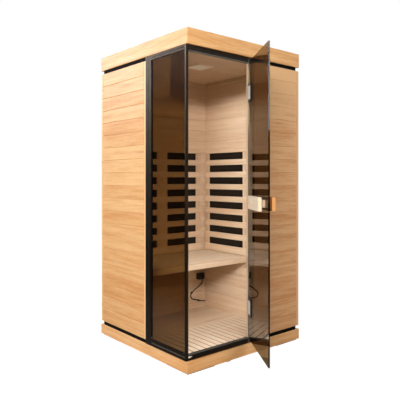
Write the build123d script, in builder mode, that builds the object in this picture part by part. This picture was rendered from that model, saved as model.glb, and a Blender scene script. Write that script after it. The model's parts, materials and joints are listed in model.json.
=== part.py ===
from build123d import *
import math
import os

# One-person infrared sauna cabin: a boarded wood box with a glass door and a glass side pane,
# a bench, and slatted backrests in front of flat heaters. Millimetres, +Z up. The origin is on
# the floor at the centre of the square footprint. The door faces -Y and the side pane faces -X.
# The door is modelled standing open.

os.makedirs("parts", exist_ok=True)

# Cabin
footprint = 950
height = 1900
half = footprint / 2

# Base
foot_height = 10
base_top = 75
frame_board = 30
base_panel_top = 22
joist_top = 45
floor_top = 57

# Walls: cladding, core and lining from the outside in
wall_low = 100
wall_high = 1786
skin = 8
core_thickness = 29
wall = 2 * skin + core_thickness
board_count = 20
board_pitch = (wall_high - wall_low) / board_count
groove_half = 2.5
ceiling_low = 1822
roof_low = 1811
inside = half - wall

# Wall ends, as distances along X or Y from the centre of the cabin
free_end = half - 5
core_end = half - skin
lining_end = half - skin - core_thickness
glazing_end = 69
hinge_wall_end = 65

# Glass and its aluminium frame
glass_thickness = 8
rail_depth = 16
glass_pocket = 4
pane_front = -451
pane_back = -129
frame_front = -463
frame_back = -445
sill_top = 109
header_low = 1775
seal = 5

# Door
hinge_x = 9
hinge_y = -469
door_opening = 56.5
door_low = 105
door_high = 1780
door_start = 9
door_end = 482
hinge_heights = (1588, 303)

# Bench and backrests
bench_top = 510
bench_front = -70
seat_thickness = 20
fascia_depth = 37
slat_face = 400
slat_thickness = 10
slat_pitch = 92.6
slot_height = 51.5
slot_count = 8
backrest_low = 515
backrest_high = 1304
first_slot_low = 568.5


def limits(x_range, y_range, z_range):
    """A straight board between these limits, added to the part that is being built."""
    centre = tuple(sum(pair) / 2 for pair in (x_range, y_range, z_range))
    size = [pair[1] - pair[0] for pair in (x_range, y_range, z_range)]
    with Locations(centre):
        Box(*size)


# Each wall's section plane: local x points outwards from its face, local y points up, and the
# plane's normal runs along the wall.
wall_planes = {
    "front": Plane(origin=(0, -half, 0), x_dir=(0, -1, 0), z_dir=(-1, 0, 0)),
    "right": Plane(origin=(half, 0, 0), x_dir=(1, 0, 0), z_dir=(0, -1, 0)),
    "back": Plane(origin=(0, half, 0), x_dir=(0, 1, 0), z_dir=(1, 0, 0)),
    "left": Plane(origin=(-half, 0, 0), x_dir=(-1, 0, 0), z_dir=(0, 1, 0)),
}

# Where each layer starts and ends along its wall
cladding_spans = {
    "front": (-free_end, -hinge_wall_end),
    "right": (-free_end, core_end),
    "back": (-core_end, core_end),
    "left": (-glazing_end, free_end),
}
core_spans = {
    "front": (-core_end, -hinge_wall_end),
    "right": (-core_end, lining_end),
    "back": (-lining_end, lining_end),
    "left": (-glazing_end, core_end),
}
lining_spans = {
    "front": (-inside, -hinge_wall_end),
    "right": (-lining_end, lining_end),
    "back": (-inside, inside),
    "left": (-glazing_end, lining_end),
}
# Widths of the upright boards that cover the ends of the cladding boards, at the start and the
# end of each wall. 0 leaves the boards' ends bare.
edge_boards = {"front": (19, 12), "right": (19, 0), "back": (19, 19), "left": (18, 19)}
# Counterbores for the screws that join the walls, on a line up one end of each of these walls
screw_lines = {"front": -443, "right": -460, "left": 460}
screw_heights = (209, 690, 1185, 1680)
screw_bore = 5.5
screw_depth = 3

# ---------------------------------------------------------------- base and roof frames

corner_turns = {"front": 0, "right": 90, "back": 180, "left": 270}
ease = 4

# The plinth and the roof fascia are alike: four mitred boards, each with an eased outer edge on
# the side towards the wall, which is the last or the first group of edges going up.
for name, low, high, eased_group in (
    ("plinth", foot_height, base_top, -1),
    ("roof_fascia", roof_low, height, 0),
):
    for side, turn in corner_turns.items():
        with BuildPart() as board:
            with BuildSketch(Plane.XY.offset(low).rotated((0, 0, turn))):
                with BuildLine():
                    Polyline(
                        (-half, -half),
                        (half, -half),
                        (half - frame_board, frame_board - half),
                        (frame_board - half, frame_board - half),
                        close=True,
                    )
                make_face()
            extrude(amount=high - low)
            outer_edge = board.edges().group_by(Axis.Z)[eased_group].sort_by(SortBy.LENGTH)[-1]
            fillet(outer_edge, radius=ease)
        board.part.label = f"{name}_{side}"
        export_step(board.part, f"parts/{name}_{side}.step")

# ---------------------------------------------------------------- feet and floor

foot_inset = 14
foot_length = 197
foot_width = 45

bearer_width = 32
bearer_offset = 155
long_bearer = 2 * (half - foot_inset)
middle_bearer = 650

with BuildPart() as floor_skids:
    for turn in corner_turns.values():
        with BuildSketch(Plane.XY.rotated((0, 0, turn))):
            with BuildLine():
                outer = foot_inset - half
                Polyline(
                    (outer, outer),
                    (outer + foot_length, outer),
                    (outer + foot_length, outer + foot_width),
                    (outer + foot_width, outer + foot_width),
                    (outer + foot_width, outer + foot_length),
                    (outer, outer + foot_length),
                    close=True,
                )
            make_face()
        extrude(amount=foot_height)
    with BuildSketch():
        with GridLocations(2 * bearer_offset, 0, 2, 1):
            Rectangle(bearer_width, long_bearer)
        Rectangle(bearer_width, middle_bearer)
    extrude(amount=foot_height)
floor_skids.part.label = "floor_skids"
export_step(floor_skids.part, "parts/floor_skids.step")

base_inside = half - frame_board

with BuildPart() as base_panel:
    with BuildSketch(Plane.XY.offset(foot_height)):
        Rectangle(2 * base_inside, 2 * base_inside)
    extrude(amount=base_panel_top - foot_height)
base_panel.part.label = "base_panel"
export_step(base_panel.part, "parts/base_panel.step")

joist_width = 30
joist_spacing = 215
joist_count = 5

with BuildPart() as floor_joists:
    with BuildSketch(Plane.XY.offset(base_panel_top)):
        with GridLocations(joist_spacing, 0, joist_count, 1):
            Rectangle(joist_width, 2 * base_inside)
    extrude(amount=joist_top - base_panel_top)
floor_joists.part.label = "floor_joists"
export_step(floor_joists.part, "parts/floor_joists.step")

# The floor has a grooved mat board inside the door and plain tongued boards behind it.
mat_back = -120
mat_groove_pitch = 48
mat_groove_width = 6
mat_groove_depth = 9
mat_border = 18
mat_groove_count = 16
mat_groove_front = mat_border - inside
mat_groove_back = mat_back - mat_border

with BuildPart() as floor_slats:
    limits((-base_inside, base_inside), (-base_inside, mat_back), (joist_top, floor_top))
    with BuildSketch(Plane.XY.offset(floor_top)):
        with Locations((0, (mat_groove_front + mat_groove_back) / 2)):
            with GridLocations(mat_groove_pitch, 0, mat_groove_count, 1):
                Rectangle(mat_groove_width, mat_groove_back - mat_groove_front)
    extrude(amount=-mat_groove_depth, mode=Mode.SUBTRACT)
floor_slats.part.label = "floor_slats"
export_step(floor_slats.part, "parts/floor_slats.step")

small_joint = [(-1.5, 0), (0, -1.5), (1.5, 0)]
deck_boards = 6
deck_board_width = (base_inside - mat_back) / deck_boards

with BuildPart() as floor_deck:
    with BuildSketch(Plane.YZ.offset(-base_inside)):
        with Locations(((mat_back + base_inside) / 2, (joist_top + floor_top) / 2)):
            Rectangle(base_inside - mat_back, floor_top - joist_top)
        for joint in range(1, deck_boards):
            with Locations((mat_back + joint * deck_board_width, floor_top)):
                Polygon(*small_joint, align=None, mode=Mode.SUBTRACT)
    extrude(amount=2 * base_inside)
floor_deck.part.label = "floor_deck"
export_step(floor_deck.part, "parts/floor_deck.step")

# ---------------------------------------------------------------- walls

groove = [(0, groove_half), (-groove_half, 0), (0, -groove_half)]

for side, section in wall_planes.items():
    start, end = cladding_spans[side]
    with BuildPart() as cladding:
        with BuildSketch(section.offset(start)):
            with Locations((-skin / 2, (wall_low + wall_high) / 2)):
                Rectangle(skin, wall_high - wall_low)
        extrude(amount=end - start)
        board_start = start + edge_boards[side][0]
        board_end = end - edge_boards[side][1]
        with BuildSketch(section.offset(board_start)):
            for joint in range(1, board_count):
                with Locations((0, wall_low + joint * board_pitch)):
                    Polygon(*groove, align=None)
        extrude(amount=board_end - board_start, mode=Mode.SUBTRACT)
        # the upright joint beside each edge board
        upright_plane = Plane(
            origin=section.origin + Vector(0, 0, wall_low),
            x_dir=section.x_dir,
            z_dir=(0, 0, 1),
        )
        with BuildSketch(upright_plane):
            for position, width in zip((board_start, board_end), edge_boards[side]):
                if width:
                    with Locations((0, -position)):
                        Polygon(*groove, align=None)
        extrude(amount=wall_high - wall_low, mode=Mode.SUBTRACT)
        if side in screw_lines:
            face_plane = Plane(origin=section.origin, x_dir=section.z_dir, z_dir=section.x_dir)
            with BuildSketch(face_plane):
                for screw_height in screw_heights:
                    # on this plane, local y points down
                    with Locations((screw_lines[side], -screw_height)):
                        Circle(screw_bore)
            extrude(amount=-screw_depth, mode=Mode.SUBTRACT)
    cladding.part.label = f"{side}_cladding"
    export_step(cladding.part, f"parts/{side}_cladding.step")

for side, section in wall_planes.items():
    start, end = core_spans[side]
    with BuildPart() as core:
        with BuildSketch(section.offset(start)):
            with Locations((-skin - core_thickness / 2, (wall_low + wall_high) / 2)):
                Rectangle(core_thickness, wall_high - wall_low)
        extrude(amount=end - start)
    core.part.label = f"{side}_core"
    export_step(core.part, f"parts/{side}_core.step")

for side, section in wall_planes.items():
    start, end = lining_spans[side]
    with BuildPart() as lining:
        with BuildSketch(section.offset(start)):
            with Locations((skin / 2 - wall, (floor_top + ceiling_low) / 2)):
                Rectangle(skin, ceiling_low - floor_top)
            for joint in range(board_count + 1):
                with Locations((-wall, wall_low + joint * board_pitch)):
                    Polygon(*[(-x, y) for x, y in groove], align=None, mode=Mode.SUBTRACT)
        extrude(amount=end - start)
    lining.part.label = f"{side}_lining"
    export_step(lining.part, f"parts/{side}_lining.step")

# Dark strips close the seams above and below the walls. They stop short of the outside corners.
seam_inset = 5
seam_outer = half - seam_inset
seam_inner = lining_end
seam_end = half - 30

with BuildPart() as seam_strips:
    for heights in ((base_top, wall_low), (wall_high, roof_low)):
        limits((hinge_wall_end, seam_end), (-seam_outer, -seam_inner), heights)
        limits((seam_inner, seam_outer), (-inside, seam_end), heights)
        limits((-inside, inside), (seam_inner, seam_outer), heights)
        limits((-seam_outer, -seam_inner), (-glazing_end, seam_end), heights)
seam_strips.part.label = "seam_strips"
export_step(seam_strips.part, "parts/seam_strips.step")

# ---------------------------------------------------------------- glazing frame

glass_outer = 4 - half
glass_inner = glass_outer + glass_thickness
side_rail_inner = rail_depth - half
side_sill_top = 115
side_head_low = 1782
pane_middle = (pane_front + pane_back) / 2
pane_length = pane_back - pane_front
groove_x = (glass_outer + glass_inner) / 2
accent = [(0, 1.5), (1.5, 0), (0, -1.5)]

with BuildPart() as corner_post:
    with BuildSketch(Plane.XY.offset(base_top)):
        with Locations(((side_rail_inner - half) / 2, (frame_front + pane_front) / 2)):
            Rectangle(rail_depth, pane_front - frame_front)
        with Locations((groove_x, pane_front - glass_pocket / 2)):
            Rectangle(glass_thickness, glass_pocket, mode=Mode.SUBTRACT)
    extrude(amount=roof_low - base_top)
corner_post.part.label = "corner_post"
export_step(corner_post.part, "parts/corner_post.step")

with BuildPart() as glazing_post:
    with BuildSketch(Plane.XY.offset(base_top)):
        with Locations(((side_rail_inner - half) / 2, (pane_back - glazing_end) / 2)):
            Rectangle(rail_depth, -glazing_end - pane_back)
        with Locations((groove_x, pane_back + glass_pocket / 2)):
            Rectangle(glass_thickness, glass_pocket, mode=Mode.SUBTRACT)
        with Locations((-half, (pane_back - glazing_end) / 2)):
            Polygon(*accent, align=None, mode=Mode.SUBTRACT)
    extrude(amount=roof_low - base_top)
glazing_post.part.label = "glazing_post"
export_step(glazing_post.part, "parts/glazing_post.step")

for name, low, high, groove_edge in (
    ("side_sill_rail", base_top, side_sill_top, side_sill_top),
    ("side_head_rail", side_head_low, roof_low, side_head_low),
):
    inward = math.copysign(1, (low + high) / 2 - groove_edge)
    with BuildPart() as side_rail:
        with BuildSketch(Plane.XZ.offset(-pane_front)):
            with Locations(((side_rail_inner - half) / 2, (low + high) / 2)):
                Rectangle(rail_depth, high - low)
            with Locations((groove_x, groove_edge + inward * glass_pocket / 2)):
                Rectangle(glass_thickness, glass_pocket, mode=Mode.SUBTRACT)
            with Locations((-half, (low + high) / 2)):
                Polygon(*accent, align=None, mode=Mode.SUBTRACT)
        extrude(amount=-pane_length)
    side_rail.part.label = name
    export_step(side_rail.part, f"parts/{name}.step")

with BuildPart() as side_glass:
    with BuildSketch(Plane.YZ.offset(glass_outer)):
        with Locations((pane_middle, (side_sill_top + side_head_low) / 2)):
            Rectangle(
                pane_length + 2 * glass_pocket,
                side_head_low - side_sill_top + 2 * glass_pocket,
            )
    extrude(amount=glass_thickness)
side_glass.part.label = "side_glass"
export_step(side_glass.part, "parts/side_glass.step")

# The hinge post is a metal plate on a wood jamb, which also covers the end of the front wall.
opening_right = hinge_x + 1
seal_back = frame_front + seal
jamb = 8

with BuildPart() as hinge_post:
    with BuildSketch(Plane.XY.offset(base_top)):
        with BuildLine():
            Polyline(
                (opening_right + seal, frame_front),
                (hinge_wall_end, frame_front),
                (hinge_wall_end, seal_back),
                (opening_right + seal, seal_back),
                close=True,
            )
        make_face()
    extrude(amount=roof_low - base_top)
hinge_post.part.label = "hinge_post"
export_step(hinge_post.part, "parts/hinge_post.step")

with BuildPart() as door_jamb:
    with BuildSketch(Plane.XY.offset(base_top)):
        with BuildLine():
            Polyline(
                (opening_right, seal_back),
                (hinge_wall_end, seal_back),
                (hinge_wall_end, -inside),
                (hinge_wall_end - jamb, -inside),
                (hinge_wall_end - jamb, frame_back),
                (opening_right, frame_back),
                close=True,
            )
        make_face()
    extrude(amount=roof_low - base_top)
door_jamb.part.label = "door_jamb"
export_step(door_jamb.part, "parts/door_jamb.step")

# The sill and the header are extrusions with a rebate for the seal along their open outer edge.
for name, low, high, open_edge in (
    ("door_sill", base_top, sill_top, sill_top),
    ("door_head_rail", header_low, roof_low, header_low),
):
    closed_edge = low + high - open_edge
    rebate_edge = open_edge + math.copysign(seal, closed_edge - open_edge)
    with BuildPart() as door_rail:
        with BuildSketch(Plane.YZ.offset(side_rail_inner)):
            with BuildLine():
                Polyline(
                    (frame_front, closed_edge),
                    (frame_front, rebate_edge),
                    (seal_back, rebate_edge),
                    (seal_back, open_edge),
                    (frame_back, open_edge),
                    (frame_back, closed_edge),
                    close=True,
                )
            make_face()
        extrude(amount=opening_right - side_rail_inner)
    door_rail.part.label = name
    export_step(door_rail.part, f"parts/{name}.step")

# One grey seal runs along the sill, up the hinge side and along the header, with its outer edge
# towards the opening cut off.
seal_cut = 2

with BuildPart() as door_seal:
    for open_edge, away in ((sill_top, -1), (header_low, 1)):
        with BuildSketch(Plane.YZ.offset(side_rail_inner)):
            with BuildLine():
                Polyline(
                    (frame_front, open_edge + away * seal),
                    (frame_front, open_edge + away * seal_cut),
                    (frame_front + seal_cut, open_edge),
                    (seal_back, open_edge),
                    (seal_back, open_edge + away * seal),
                    close=True,
                )
            make_face()
        extrude(amount=opening_right - side_rail_inner)
    with BuildSketch(Plane.XY.offset(base_top)):
        with BuildLine():
            Polyline(
                (opening_right + seal, frame_front),
                (opening_right + seal_cut, frame_front),
                (opening_right, frame_front + seal_cut),
                (opening_right, seal_back),
                (opening_right + seal, seal_back),
                close=True,
            )
        make_face()
    extrude(amount=roof_low - base_top)
door_seal.part.label = "door_seal"
export_step(door_seal.part, "parts/door_seal.step")

# ---------------------------------------------------------------- roof

roof_board = 12

with BuildPart() as ceiling_panel:
    with BuildSketch(Plane.XY.offset(ceiling_low)):
        Rectangle(2 * base_inside, 2 * base_inside)
    extrude(amount=roof_board)
ceiling_panel.part.label = "ceiling_panel"
export_step(ceiling_panel.part, "parts/ceiling_panel.step")

roof_top_low = 1885
roof_top_high = roof_top_low + roof_board
gland_x = 330
gland_y = 380
cord_bore = 4
gland_neck = 8
gland_flange = 15
gland_dome = 11
gland_nut = 6
gland_low = -16
gland_high = 20

with BuildPart() as roof_top:
    with BuildSketch(Plane.XY.offset(roof_top_low)):
        Rectangle(2 * base_inside, 2 * base_inside)
        with Locations((gland_x, gland_y)):
            Circle(gland_neck, mode=Mode.SUBTRACT)
    extrude(amount=roof_top_high - roof_top_low)
roof_top.part.label = "roof_top"
export_step(roof_top.part, "parts/roof_top.step")

gland_plane = Plane(origin=(gland_x, gland_y, roof_top_high), x_dir=(1, 0, 0), z_dir=(0, -1, 0))

with BuildPart() as supply_gland:
    with BuildSketch(gland_plane):
        with BuildLine():
            Polyline(
                (cord_bore, gland_low),
                (gland_neck, gland_low),
                (gland_neck, 0),
                (gland_dome, 0),
                (gland_dome, gland_high - 5),
                (cord_bore + 2, gland_high),
                (cord_bore, gland_high),
                close=True,
            )
        make_face()
    revolve(axis=Axis((gland_x, gland_y, 0), (0, 0, 1)))
    with BuildSketch(Plane(origin=(gland_x, gland_y, roof_top_high))):
        RegularPolygon(gland_flange, 6)
        Circle(gland_neck, mode=Mode.SUBTRACT)
    extrude(amount=gland_nut)
supply_gland.part.label = "supply_gland"
export_step(supply_gland.part, "parts/supply_gland.step")

# The ceiling trim is a stepped cornice: a broad strip against the ceiling over a narrow one.
trim_low = 1803
trim_step = 1812
broad_trim = 18
narrow_trim = 9

with BuildPart() as ceiling_trim:
    with BuildSketch(Plane.XY.offset(trim_step)):
        Rectangle(2 * inside, 2 * inside)
        Rectangle(2 * (inside - broad_trim), 2 * (inside - broad_trim), mode=Mode.SUBTRACT)
    extrude(amount=ceiling_low - trim_step)
    with BuildSketch(Plane.XY.offset(trim_low)):
        Rectangle(2 * inside, 2 * inside)
        Rectangle(2 * (inside - narrow_trim), 2 * (inside - narrow_trim), mode=Mode.SUBTRACT)
    extrude(amount=trim_step - trim_low)
ceiling_trim.part.label = "ceiling_trim"
export_step(ceiling_trim.part, "parts/ceiling_trim.step")

light_x = -21
light_y = -37
light_size = 136
light_window = 112
light_low = 1815
light_bevel = 3
lens_inset = 2

with BuildPart() as light_bezel:
    with BuildSketch(Plane.XY.offset(light_low)):
        with Locations((light_x, light_y)):
            Rectangle(light_size, light_size)
            Rectangle(light_window, light_window, mode=Mode.SUBTRACT)
    extrude(amount=ceiling_low - light_low)
    chamfer(light_bezel.edges().group_by(Axis.Z)[0].group_by(SortBy.LENGTH)[-1], length=light_bevel)
light_bezel.part.label = "light_bezel"
export_step(light_bezel.part, "parts/light_bezel.step")

with BuildPart() as light_diffuser:
    with BuildSketch(Plane.XY.offset(light_low + lens_inset)):
        with Locations((light_x, light_y)):
            Rectangle(light_window, light_window)
    extrude(amount=ceiling_low - light_low - lens_inset)
light_diffuser.part.label = "light_diffuser"
export_step(light_diffuser.part, "parts/light_diffuser.step")

# ---------------------------------------------------------------- bench

front_board_thickness = 22
front_board_back = bench_front + front_board_thickness
seat_boards = 5
seat_board_width = (inside - front_board_back) / seat_boards

with BuildPart() as bench_seat:
    with BuildSketch(Plane.YZ.offset(-inside)):
        with Locations(((front_board_back + inside) / 2, bench_top - seat_thickness / 2)):
            Rectangle(inside - front_board_back, seat_thickness)
        for joint in range(1, seat_boards):
            with Locations((front_board_back + joint * seat_board_width, bench_top)):
                Polygon(*small_joint, align=None, mode=Mode.SUBTRACT)
    extrude(amount=2 * inside)
bench_seat.part.label = "bench_seat"
export_step(bench_seat.part, "parts/bench_seat.step")

with BuildPart() as bench_front_board:
    limits((-inside, inside), (bench_front, front_board_back), (bench_top - fascia_depth, bench_top))
    front_edges = bench_front_board.edges().filter_by(Axis.X).group_by(Axis.Y)[0]
    fillet(front_edges, radius=ease)
bench_front_board.part.label = "bench_front_board"
export_step(bench_front_board.part, "parts/bench_front_board.step")

# Corbels on the side walls, each with a short rounded nose in front of a longer rounded foot.
# The profile's points are depths behind the corbel's front and levels below its top.
corbel_top = bench_top - seat_thickness
corbel_depth = 26
corbel_fronts = (front_board_back + 3, 330)
nose_start = (0, 33)
nose_end = (36, 69)
foot_start = (36, 100)
foot_middle = (57, 121)
foot_back = (78, 121)
foot_end = (96, 103)
corbel_back = 96

with BuildPart() as bench_brackets:
    for wall_sign in (-1, 1):
        for corbel_front in corbel_fronts:
            corbel_section = Plane(
                origin=(wall_sign * inside, corbel_front, corbel_top),
                x_dir=(0, 1, 0),
                z_dir=(-wall_sign, 0, 0),
            )
            # the section's local y points up when its normal is +X, and down when it is -X
            upright = -wall_sign

            def at(point):
                return (point[0], -upright * point[1])

            with BuildSketch(corbel_section):
                with BuildLine():
                    Line((0, 0), at(nose_start))
                    TangentArc(at(nose_start), at(nose_end), tangent=at((0, 1)))
                    Line(at(nose_end), at(foot_start))
                    TangentArc(at(foot_start), at(foot_middle), tangent=at((0, 1)))
                    Line(at(foot_middle), at(foot_back))
                    TangentArc(at(foot_back), at(foot_end), tangent=(1, 0))
                    Polyline(at(foot_end), (corbel_back, 0), (0, 0))
                make_face()
            extrude(amount=corbel_depth)
bench_brackets.part.label = "bench_brackets"
export_step(bench_brackets.part, "parts/bench_brackets.step")

# ---------------------------------------------------------------- backrests and heaters

# Each backrest plane has its local x along the wall, its local y up and its normal towards the
# wall, with the origin on the front face of the slats.
back_plane = Plane(origin=(0, slat_face, 0), x_dir=(-1, 0, 0), z_dir=(0, 1, 0))
side_plane = Plane(origin=(slat_face, 0, 0), x_dir=(0, 1, 0), z_dir=(1, 0, 0))
stile = 45
slat_bevel = 1.5
backrests = {
    "right_backrest": (side_plane, -58, 404),
    "back_right_backrest": (back_plane, -365, 0),
    "back_left_backrest": (back_plane, 0, 365),
}
stile_gap = 0.5
stile_relief = 2
slat_edges = [backrest_low]
for slot in range(slot_count):
    slot_low = first_slot_low + slot * slat_pitch
    slat_edges += [slot_low, slot_low + slot_height]
slat_edges += [backrest_high]

for name, (plane, start, end) in backrests.items():
    with BuildPart() as slats:
        for low, high in zip(slat_edges[::2], slat_edges[1::2]):
            with BuildSketch(plane):
                with Locations(((start + end) / 2, (low + high) / 2)):
                    Rectangle(end - start, high - low)
            extrude(amount=slat_thickness)
        slat_fronts = slats.faces().sort_by(Axis(plane.origin, plane.z_dir))[: slot_count + 1]
        chamfer(slat_fronts.edges(), length=slat_bevel)
    slats.part.label = f"{name}_slats"
    export_step(slats.part, f"parts/{name}_slats.step")

stile_depth = inside - slat_face - slat_thickness

with BuildPart() as backrest_stiles:
    for plane, start, end in backrests.values():
        with BuildSketch(plane.offset(slat_thickness)):
            for middle in (start + stile / 2 + stile_gap, end - stile / 2 - stile_gap):
                with Locations((middle, (backrest_low + backrest_high) / 2)):
                    Rectangle(stile, backrest_high - backrest_low - 2 * stile_relief)
        extrude(amount=stile_depth)
backrest_stiles.part.label = "backrest_stiles"
export_step(backrest_stiles.part, "parts/backrest_stiles.step")

# Flat heaters hang between the stiles, a little behind the slats
heater_gap = 3.5
heater_recess = 4
heater_margin = 20
heater_corner = 6
heater_face = slat_thickness + heater_recess

with BuildPart() as heater_panels:
    for plane, start, end in backrests.values():
        heater_width = end - start - 2 * (stile + heater_gap)
        heater_height = backrest_high - backrest_low - 2 * heater_margin
        with BuildSketch(plane.offset(heater_face)):
            with Locations(((start + end) / 2, (backrest_low + backrest_high) / 2)):
                RectangleRounded(heater_width, heater_height, heater_corner)
        extrude(amount=inside - slat_face - heater_face)
heater_panels.part.label = "heater_panels"
export_step(heater_panels.part, "parts/heater_panels.step")

# ---------------------------------------------------------------- socket and heater lead

socket_left = 337
socket_right = 405
socket_low = 279
socket_high = 329
socket_depth = 22
socket_corner = 5
socket_taper = 3
inlet_width = 27
inlet_height = 20
inlet_depth = 12
lead_y = inside - socket_depth / 2
lead_radius = 4
lead_exit_x = 391

with BuildPart() as power_socket:
    with BuildSketch(Plane.XZ.offset(-inside)):
        with Locations(((socket_left + socket_right) / 2, (socket_low + socket_high) / 2)):
            RectangleRounded(socket_right - socket_left, socket_high - socket_low, socket_corner)
    extrude(amount=socket_depth, taper=socket_taper)
    with BuildSketch(Plane.XZ.offset(socket_depth - inside)):
        with Locations(((socket_left + socket_right) / 2, (socket_low + socket_high) / 2)):
            Rectangle(inlet_width, inlet_height)
    extrude(amount=-inlet_depth, mode=Mode.SUBTRACT)
power_socket.part.label = "power_socket"
export_step(power_socket.part, "parts/power_socket.step")

# The lead's route along the back wall, from the socket to its gland at the foot of the right wall
lead_end_x = inside - 12
lead_route = [
    (lead_exit_x, socket_low),
    (389, 250),
    (350, 222),
    (300, 199),
    (268, 168),
    (281, 137),
    (330, 121),
    (376, 107),
    (lead_end_x, 101),
]


def route_radii(route):
    """The largest tangent arc that each corner of a route takes: 0.45 of its shorter run over
    the tangent of half the turn."""
    radii = []
    for before, corner, after in zip(route, route[1:], route[2:]):
        run_in = Vector(*corner) - Vector(*before)
        run_out = Vector(*after) - Vector(*corner)
        turn = run_in.get_angle(run_out)
        radii.append(0.45 * min(run_in.length, run_out.length) / math.tan(math.radians(turn) / 2))
    return radii


lead_radii = route_radii(lead_route)
print("heater lead radii:", [round(radius) for radius in lead_radii])

with BuildPart() as heater_lead:
    with BuildLine(Plane.XZ.offset(-lead_y)) as lead_line:
        FilletPolyline(*lead_route, radius=lead_radii)
    with BuildSketch(Plane(origin=lead_line.line @ 0, z_dir=lead_line.line % 0)):
        # twelve sides, so that the bends keep few facets
        lead_section = RegularPolygon(lead_radius, 12)
    sweep()
print("heater lead:", round(heater_lead.part.volume / lead_section.area), "mm by volume,",
      round(lead_line.wires()[0].length), "mm along its line")
heater_lead.part.label = "heater_lead"
export_step(heater_lead.part, "parts/heater_lead.step")

# Saddle clips hold the lead to the back wall, each on the middle of one run of the route
clip_bore = lead_radius + 0.5
clip_outer = lead_radius + 2.5
clip_half_length = 4
clipped_runs = (3, 6)

with BuildPart() as lead_clips:
    for run in clipped_runs:
        run_start = Vector(lead_route[run][0], lead_y, lead_route[run][1])
        run_end = Vector(lead_route[run + 1][0], lead_y, lead_route[run + 1][1])
        clip_plane = Plane(
            origin=(run_start + run_end) * 0.5,
            x_dir=(0, 1, 0),
            z_dir=run_end - run_start,
        )
        with BuildSketch(clip_plane):
            Circle(clip_outer)
            with Locations(((inside - lead_y) / 2, 0)):
                Rectangle(inside - lead_y, 2 * clip_outer)
            Circle(clip_bore, mode=Mode.SUBTRACT)
        extrude(amount=clip_half_length, both=True)
lead_clips.part.label = "lead_clips"
export_step(lead_clips.part, "parts/lead_clips.step")

# ---------------------------------------------------------------- hinges

knuckle_radius = 5.5
pin_radius = 2.5
pin_bore = 2.55
hinge_half = 45
door_knuckle_half = 15
knuckle_gap = 0.3
leaf_thickness = 4
leaf_end = 60
leaf_relief = 6
pin_head_radius = 4.5
pin_head = 2.5

with BuildPart() as hinge_frame_leaves:
    for level in hinge_heights:
        with BuildSketch(Plane.XY.offset(level - hinge_half)):
            with Locations((hinge_x, hinge_y)):
                Circle(knuckle_radius)
            with Locations(((hinge_x + leaf_end) / 2, frame_front - leaf_thickness / 2)):
                Rectangle(leaf_end - hinge_x, leaf_thickness)
            with Locations((hinge_x, hinge_y)):
                Circle(pin_bore, mode=Mode.SUBTRACT)
        extrude(amount=2 * hinge_half)
        # room for the door's knuckle between the two of the frame
        with BuildSketch(Plane.XY.offset(level - door_knuckle_half - knuckle_gap)):
            with Locations((hinge_x, hinge_y)):
                Rectangle(2 * leaf_relief, 2 * leaf_relief + 1)
        extrude(amount=2 * (door_knuckle_half + knuckle_gap), mode=Mode.SUBTRACT)
hinge_frame_leaves.part.label = "hinge_frame_leaves"
export_step(hinge_frame_leaves.part, "parts/hinge_frame_leaves.step")

with BuildPart() as hinge_pins:
    for level in hinge_heights:
        with BuildSketch(Plane.XY.offset(level - hinge_half)):
            with Locations((hinge_x, hinge_y)):
                Circle(pin_radius)
        extrude(amount=2 * hinge_half)
        with BuildSketch(Plane.XY.offset(level + hinge_half)):
            with Locations((hinge_x, hinge_y)):
                Circle(pin_head_radius)
        extrude(amount=pin_head)
hinge_pins.part.label = "hinge_pins"
export_step(hinge_pins.part, "parts/hinge_pins.step")

# ---------------------------------------------------------------- door

# The door's plan plane has its origin on the hinge axis, local x from the hinge to the free edge
# and local y towards the outside. The door's face plane stands upright in the middle of the glass:
# local x from the hinge to the free edge, local y up, and its normal towards the inside.
opening = math.radians(door_opening)
along_door = (-math.cos(opening), -math.sin(opening), 0)
into_cabin = (-math.sin(opening), math.cos(opening), 0)
door_face = Plane(origin=(hinge_x, hinge_y, 0), x_dir=along_door, z_dir=into_cabin)
door_plan = Plane(origin=(hinge_x, hinge_y, 0), x_dir=along_door, z_dir=(0, 0, 1))
glass_half = glass_thickness / 2

with BuildPart() as door_glass:
    with BuildSketch(door_face):
        with Locations(((door_start + door_end) / 2, (door_low + door_high) / 2)):
            Rectangle(door_end - door_start, door_high - door_low)
    extrude(amount=glass_half, both=True)
door_glass.part.label = "door_glass"
export_step(door_glass.part, "parts/door_glass.step")

# Each clamp is a channel round the edge of the glass, with the door's knuckle on its back
clamp_start = 6.5
clamp_end = 80
clamp_plate = 5
clamp_half = 54
clamp_corner = 7

with BuildPart() as hinge_clamps:
    for level in hinge_heights:
        with BuildSketch(door_plan.offset(level - clamp_half)):
            with Locations(((clamp_start + clamp_end) / 2, 0)):
                Rectangle(clamp_end - clamp_start, 2 * (glass_half + clamp_plate))
            with Locations(((door_start + clamp_end) / 2, 0)):
                Rectangle(clamp_end - door_start, glass_thickness, mode=Mode.SUBTRACT)
        extrude(amount=2 * clamp_half)
    across = Axis((hinge_x, hinge_y, 0), into_cabin)
    outward = Axis((hinge_x, hinge_y, 0), along_door)
    fillet(hinge_clamps.edges().filter_by(across).group_by(outward)[-1], radius=clamp_corner)
    for level in hinge_heights:
        with BuildSketch(door_plan.offset(level - door_knuckle_half)):
            Circle(knuckle_radius)
            with Locations((clamp_start / 2, 0)):
                Rectangle(clamp_start, glass_thickness)
            Circle(pin_bore, mode=Mode.SUBTRACT)
        extrude(amount=2 * door_knuckle_half)
hinge_clamps.part.label = "hinge_clamps"
export_step(hinge_clamps.part, "parts/hinge_clamps.step")

cover_width = 40
cover_height = 80
cover_thickness = 3
cover_corner = 2
clamp_face = glass_half + clamp_plate
cover_middle = 45.25

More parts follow.
